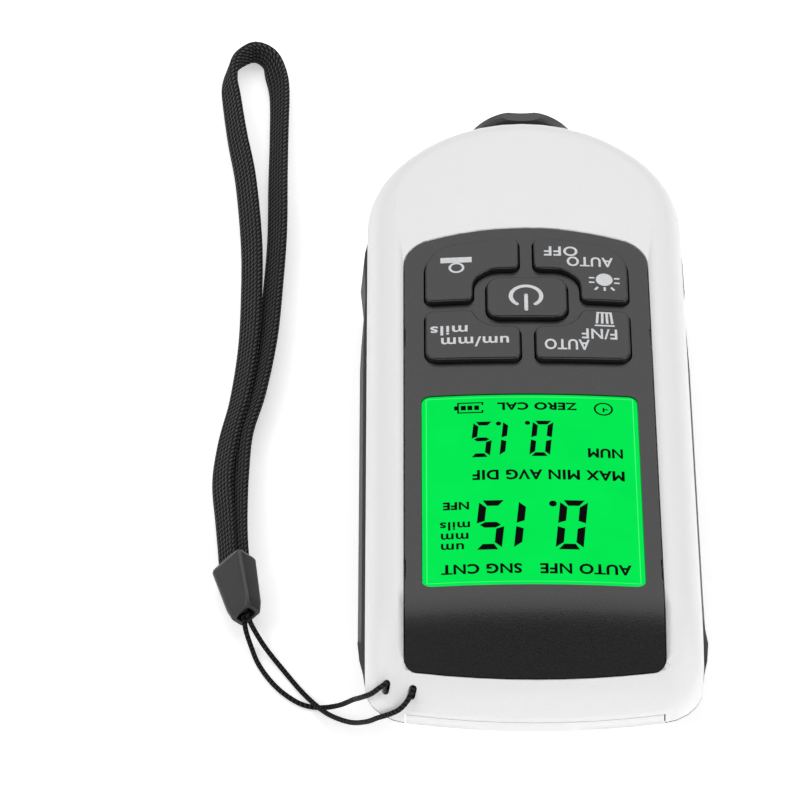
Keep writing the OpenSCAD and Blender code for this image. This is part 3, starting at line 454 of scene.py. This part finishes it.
# Display stack and board
# The cell lies on its light guide in an ivory frame, and a rubber strip joins it to the green board.
# The board carries chips, a buzzer and the keypad's rubber mat.
guide_clear = plastic("light_guide", (0.7, 0.9, 0.75), rough=0.3)
frame_ivory = plastic("frame_ivory", (0.7, 0.7, 0.66), rough=0.5)
board_green = plastic("board_green", (0.02, 0.15, 0.05), rough=0.4, scale=900, depth=0.1, speckle=0.2)
chip_black = plastic("chip_black", (0.02, 0.02, 0.02), rough=0.5)
mat_rubber = plastic("mat_rubber", (0.25, 0.25, 0.26), rough=0.7)
skin("lcd_cell", "case", glow)
skin("backlight", "case", guide_clear)
skin("lcd_frame", "case", frame_ivory)
skin("contact_strip", "case", mat_rubber)
skin("main_board", "case", board_green)
skin("board_chips", "case", chip_black)
skin("buzzer", "case", chip_black)
skin("keypad_mat", "case", mat_rubber)

# Probe
# A scalloped collar of dark satin plastic holds a sleeve that springs back as the gauge is pressed down.
# The hard steel tip in the sleeve's end touches the coating.
probe_dark = plastic("probe_satin", (0.046, 0.046, 0.048), rough=0.4)
steel = plastic("steel", (0.6, 0.6, 0.6), rough=0.3, scale=1800, depth=0.15, metal=1.0)
skin("probe_collar", "case", probe_dark, bevel=0.00015)
skin("probe_sleeve", "probe", probe_dark, bevel=0.0001)
skin("probe_tip", "probe", steel)

# Inside of the probe
# A ferrite core in a coil of enamelled copper wire behind the tip; both move with the sleeve.
# The spring behind them is held in the barrel by a glued plug.
skin("probe_core", "probe", plastic("ferrite", (0.05, 0.045, 0.04), rough=0.6))
skin("probe_coil", "probe", plastic("enamel_wire", (0.6, 0.28, 0.1), rough=0.35))
skin("probe_spring", "case", steel)
skin("barrel_plug", "case", probe_dark)

# Batteries and fasteners
# Two small cells, head to tail, between conical springs of wire and contacts of plated sheet.
# Plated steel screws hold the shells and the board.
jacket = plastic("cell_jacket", (0.1, 0.2, 0.35), rough=0.3)
for cell in ("battery_left", "battery_right"):
    skin(cell, "case", jacket)
for metal_part in ("battery_springs", "battery_contacts", "case_screws", "board_screws"):
    skin(metal_part, "case", steel)

# Strap ferrule
# Tapered block of moulded rubber that the braid's two ends and the cord's are glued into.
# It leans as the braid does, with its nose towards the case.
ferrule_rubber = plastic("ferrule_rubber", (0.026, 0.026, 0.027), rough=0.36, scale=3000, depth=0.25)
ferrule = skin("strap_ferrule", "case", ferrule_rubber, bevel=0.0002, angle=40)

# Thin cord
# Round cord of black nylon out of the ferrule's nose, up into one slot of the upper shell, under the
# bridge, out of the other slot and back into the ferrule.
cord_points = [
    (-0.0442, -0.0312, 0.0039), (-0.0437, -0.0328, 0.0035), (-0.0430, -0.0342, 0.0026),
    (-0.0410, -0.0372, 0.0011), (-0.0380, -0.0418, 0.0005), (-0.0352, -0.0464, 0.0006),
    (-0.0326, -0.0506, 0.0015), (-0.0304, -0.0538, 0.0028), (-0.0276, -0.0582, 0.0060),
    (-0.0252, -0.0626, 0.0106), (-0.0236, -0.0652, 0.0140), (-0.0218, -0.0665, 0.0161),
    (-0.0204, -0.0669, 0.0174), (-0.0194, -0.0667, 0.0185), (-0.0186, -0.0660, 0.0196),
    (-0.0182, -0.0649, 0.0198), (-0.0177, -0.0635, 0.0187), (-0.0171, -0.0621, 0.0174),
    (-0.0176, -0.0609, 0.0165), (-0.0190, -0.0603, 0.0162), (-0.0204, -0.0603, 0.0165),
    (-0.0210, -0.0610, 0.0173), (-0.0216, -0.0623, 0.0186), (-0.0222, -0.0637, 0.0198),
    (-0.0231, -0.0644, 0.0197), (-0.0244, -0.0641, 0.0181), (-0.0255, -0.0627, 0.0161),
    (-0.0264, -0.0598, 0.0128), (-0.0272, -0.0558, 0.0085), (-0.0296, -0.0518, 0.0032),
    (-0.0326, -0.0498, 0.0007), (-0.0354, -0.0488, 0.0005), (-0.0382, -0.0464, 0.0005),
    (-0.0404, -0.0434, 0.0005), (-0.0422, -0.0398, 0.0005), (-0.0433, -0.0368, 0.0012),
    (-0.0441, -0.0346, 0.0024), (-0.0444, -0.0328, 0.0030), (-0.0448, -0.0312, 0.0033),
]
cord_d, cord_step, cord_sides = 0.0008, 0.0004, 12


def smooth_route(points, step):
    """Points about step apart on a smooth curve through the given ones; each keeps all its numbers."""
    out = []
    last = len(points) - 1
    for i in range(last):
        p0, p1, p2, p3 = (points[min(max(k, 0), last)] for k in (i - 1, i, i + 1, i + 2))
        n = max(2, int(math.dist(p1[:3], p2[:3]) / step))
        for k in range(n):
            f = k / n
            out.append(
                [
                    b + 0.5 * f * (c - a + f * (2 * a - 5 * b + 4 * c - d + f * (3 * b - a - 3 * c + d)))
                    for a, b, c, d in zip(p0, p1, p2, p3)
                ]
            )
    out.append(list(points[last]))
    return out


def run_along(line):
    """Length along a line from its start to each of its points."""
    run = [0.0]
    for p, q in zip(line, line[1:]):
        run.append(run[-1] + math.dist(p, q))
    return run


def tube(name, rings, run, across):
    """Capped tube through rings of equal length; u is the run in millimetres, across gives v per corner."""
    n = len(rings[0])
    along = [1000 * r for r in run]
    mesh = bpy.data.meshes.new(name)
    faces, coords = [], []
    for k in range(len(rings) - 1):
        for j in range(n):
            a, b = k * n + j, k * n + (j + 1) % n
            faces.append((a, b, b + n, a + n))
            u0, u1, v0, v1 = along[k], along[k + 1], across[j], across[j + 1]
            coords += [(u0, v0), (u0, v1), (u1, v1), (u1, v0)]
    faces += [tuple(reversed(range(n))), tuple((len(rings) - 1) * n + j for j in range(n))]
    coords += [(0, 0)] * (2 * n)
    mesh.from_pydata([p for ring in rings for p in ring], [], faces)
    layer = mesh.uv_layers.new(name="UVMap")
    for loop, uv in zip(layer.data, coords):
        loop.uv = uv
    mesh.polygons.foreach_set("use_smooth", [True] * len(mesh.polygons))
    obj = bpy.data.objects.new(name, mesh)
    scene.collection.objects.link(obj)
    return obj


# Weave of strands that run slantwise round a cord, or row by row over the ribs of a braid
rib_power, strand_power = 0.6, 0.7
weave = bpy.data.node_groups.new("weave", "ShaderNodeTree")
for socket in ("Pitch", "Slant", "Ribbed"):
    weave.interface.new_socket(socket, in_out="INPUT", socket_type="NodeSocketFloat")
weave.interface.new_socket("Strand", in_out="OUTPUT", socket_type="NodeSocketFloat")
weave.interface.new_socket("Normal", in_out="OUTPUT", socket_type="NodeSocketVector")
w_in = weave.nodes.new("NodeGroupInput")
w_out = weave.nodes.new("NodeGroupOutput")
w_place = weave.nodes.new("ShaderNodeUVMap")
w_split = weave.nodes.new("ShaderNodeSeparateXYZ")
weave.links.new(w_place.outputs["UV"], w_split.inputs["Vector"])


def sums(operation, *values):
    """Math node in the weave on sockets or plain numbers; gives its output socket."""
    made = weave.nodes.new("ShaderNodeMath")
    made.operation = operation
    for socket, value in zip(made.inputs, values):
        if isinstance(value, (int, float)):
            socket.default_value = value
        else:
            weave.links.new(value, socket)
    return made.outputs[0]


w_along, w_across, w_ribbed = w_split.outputs["X"], w_split.outputs["Y"], w_in.outputs["Ribbed"]
w_fold = sums("SUBTRACT", sums("FRACT", w_across), w_across)
w_turn = sums("MULTIPLY", sums("MULTIPLY_ADD", w_fold, w_ribbed, w_across), w_in.outputs["Slant"])
w_phase = sums("MULTIPLY", sums("ADD", sums("DIVIDE", w_along, w_in.outputs["Pitch"]), w_turn), math.tau)
w_rib = sums("POWER", sums("ABSOLUTE", sums("SINE", sums("MULTIPLY", w_across, math.pi))), rib_power)
w_rise = sums("MULTIPLY_ADD", sums("SUBTRACT", w_rib, 1), w_ribbed, 1)
w_round = sums("POWER", sums("MULTIPLY_ADD", sums("SINE", w_phase), 0.5, 0.5), strand_power)
# Strand is low in the hollows between strands and, on a braid, in the grooves between its ribs; the fabric
# paints shade into the colour there.
w_strand = sums("MULTIPLY", w_round, w_rise)
w_bump = weave.nodes.new("ShaderNodeBump")
w_bump.inputs["Distance"].default_value = 0.0003
w_bump.inputs["Strength"].default_value = 0.9
weave.links.new(w_strand, w_bump.inputs["Height"])
weave.links.new(w_strand, w_out.inputs["Strand"])
weave.links.new(w_bump.outputs["Normal"], w_out.inputs["Normal"])


def fabric(name, pitch, slant, ribbed, hollow_painted_shade, crown_tone_and_highlight):
    """Black nylon in the weave; its colour runs from painted shade in the hollows, between strands and
    between ribs, to a lighter grey with painted highlight on its crowns, which are smoother.
    """
    made = bpy.data.materials.new(name)
    made.use_nodes = True
    tree = made.node_tree
    base = tree.nodes["Principled BSDF"]
    base.inputs["Specular IOR Level"].default_value = 0.1
    group = tree.nodes.new("ShaderNodeGroup")
    group.node_tree = weave
    group.inputs["Pitch"].default_value = pitch
    group.inputs["Slant"].default_value = slant
    group.inputs["Ribbed"].default_value = ribbed
    # Base colour follows the strand: painted shade in the hollows, painted highlight on the crowns.
    for socket, hollow, crown in (("Base Color", hollow_painted_shade, crown_tone_and_highlight), ("Roughness", 1.0, 0.65)):
        blend = tree.nodes.new("ShaderNodeMapRange")
        blend.inputs["To Min"].default_value = hollow
        blend.inputs["To Max"].default_value = crown
        tree.links.new(group.outputs["Strand"], blend.inputs["Value"])
        tree.links.new(blend.outputs["Result"], base.inputs[socket])
    tree.links.new(group.outputs["Normal"], base.inputs["Normal"])
    return made


cord_line = smooth_route(cord_points, cord_step)
cord_run = run_along(cord_line)
cord_rings = []
turns = [math.tau * j / cord_sides for j in range(cord_sides)]
for i, p in enumerate(cord_line):
    before, after = cord_line[max(i - 1, 0)], cord_line[min(i + 1, len(cord_line) - 1)]
    forward = (Vector(after) - Vector(before)).normalized()
    side = forward.cross(Vector((0, 0, 1))).normalized()
    up = side.cross(forward)
    cord_rings.append([Vector(p) + cord_d / 2 * (side * math.cos(t) + up * math.sin(t)) for t in turns])
cord = tube("cord", cord_rings, cord_run, [j / cord_sides for j in range(cord_sides + 1)])
# The cord's colour holds painted shade in the weave's hollows and painted highlight on its crowns.
cord.data.materials.append(fabric("cord_nylon", pitch=0.75, slant=1.0, ribbed=0, hollow_painted_shade=0.006, crown_tone_and_highlight=0.025))
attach(cord, "case")
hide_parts("strap_cord")

# Strap braid
# Flat black nylon braid that stands leaning on its edge: out of the ferrule, round the loop and back.
# Both ends are gathered and glued into the ferrule. Its ribs are in the section, its strands in the material.
# Each route point is x, y and the lean from upright in degrees, to the right of travel.
braid_points = [
    (-0.0471, -0.022, 46), (-0.0474, -0.017, 46), (-0.0479, -0.010, 46), (-0.0485, 0.0, 46),
    (-0.0477, 0.010, 46), (-0.0461, 0.020, 46), (-0.0450, 0.033, 46), (-0.0448, 0.046, 46),
    (-0.0451, 0.059, 45), (-0.0464, 0.075, 42), (-0.0480, 0.086, 38), (-0.0492, 0.096, 34),
    (-0.0497, 0.101, 26), (-0.0492, 0.1056, 16), (-0.0478, 0.1082, 9), (-0.0454, 0.1098, 2),
    (-0.0430, 0.1078, -20), (-0.0418, 0.104, -46), (-0.0410, 0.098, -42), (-0.0409, 0.086, -38),
    (-0.0409, 0.075, -39), (-0.0408, 0.060, -40), (-0.0413, 0.046, -42), (-0.0420, 0.033, -42),
    (-0.0436, 0.020, -42), (-0.0455, 0.010, -42), (-0.0459, 0.0, -42), (-0.0458, -0.010, -43),
    (-0.0455, -0.017, -44), (-0.0451, -0.022, -46),
]
braid_w, braid_t, braid_step = 0.0044, 0.0016, 0.0008
gather_len, gather_in, ferrule_z = 0.034, 0.2, 0.0036
start_y = braid_points[0][1]

# The section, in shares of width and thickness: a ribbed flat, a round edge, and both again turned about
ribs, rib_steps, edge_steps = 5, 30, 6
flat_half, edge_out = 0.42, 0.08
groove_half, rib_rise, rib_round = 0.38, 0.12, 0.7
flat = [flat_half - 2 * flat_half * k / rib_steps for k in range(rib_steps + 1)]
waves = [abs(math.sin(math.pi * ribs * (u + flat_half) / (2 * flat_half))) for u in flat]
crest = [groove_half + rib_rise * wave**rib_round for wave in waves]
half_turn = [math.pi * k / edge_steps for k in range(1, edge_steps)]
edge = [(flat_half + edge_out * math.sin(t), groove_half * math.cos(t)) for t in half_turn]
section = list(zip(flat, crest)) + [(-u, v) for u, v in edge]
section += [(-u, -v) for u, v in zip(flat, crest)] + [(u, -v) for u, v in edge]

# The weave counts one row for each rib and two for each round edge.
edge_rows = 2
half_rows = [ribs * k / rib_steps for k in range(rib_steps + 1)]
half_rows += [ribs + edge_rows * k / edge_steps for k in range(1, edge_steps)]
rows = half_rows + [ribs + edge_rows + r for r in half_rows] + [2 * (ribs + edge_rows)]

spine = smooth_route([(x, y, 0.0, lean) for x, y, lean in braid_points], braid_step)
braid_line, braid_rings = [], []
for i, (x, y, _, lean) in enumerate(spine):
    before, after = spine[max(i - 1, 0)], spine[min(i + 1, len(spine) - 1)]
    travel = Vector((after[0] - before[0], after[1] - before[1])).normalized()
    lean = math.radians(lean)
    f = min(1.0, max(0.0, (y - start_y) / gather_len))
    gathered = 1 - f * f * (3 - 2 * f)
    share = 1 - gather_in * gathered
    rest = braid_w / 2 * math.cos(lean) + braid_t / 2 * abs(math.sin(lean))
    rise = rest + (ferrule_z - rest) * gathered
    ring = []
    for u, v in section:
        u, v = u * braid_w * share, v * braid_t * share
        across = u * math.sin(lean) + v * math.cos(lean)
        height = rise + u * math.cos(lean) - v * math.sin(lean)
        ring.append((x + travel.y * across, y - travel.x * across, height))
    braid_rings.append(ring)
    braid_line.append((x, y, rise))
braid_run = run_along(braid_line)
braid = tube("braid", braid_rings, braid_run, rows)
# The braid's colour holds painted shade in the weave's hollows and rib grooves, and painted highlight on its
# crowns.
braid.data.materials.append(fabric("braid_nylon", pitch=1.05, slant=-0.8, ribbed=1, hollow_painted_shade=0.001, crown_tone_and_highlight=0.093))
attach(braid, "case")
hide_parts("strap_braid")
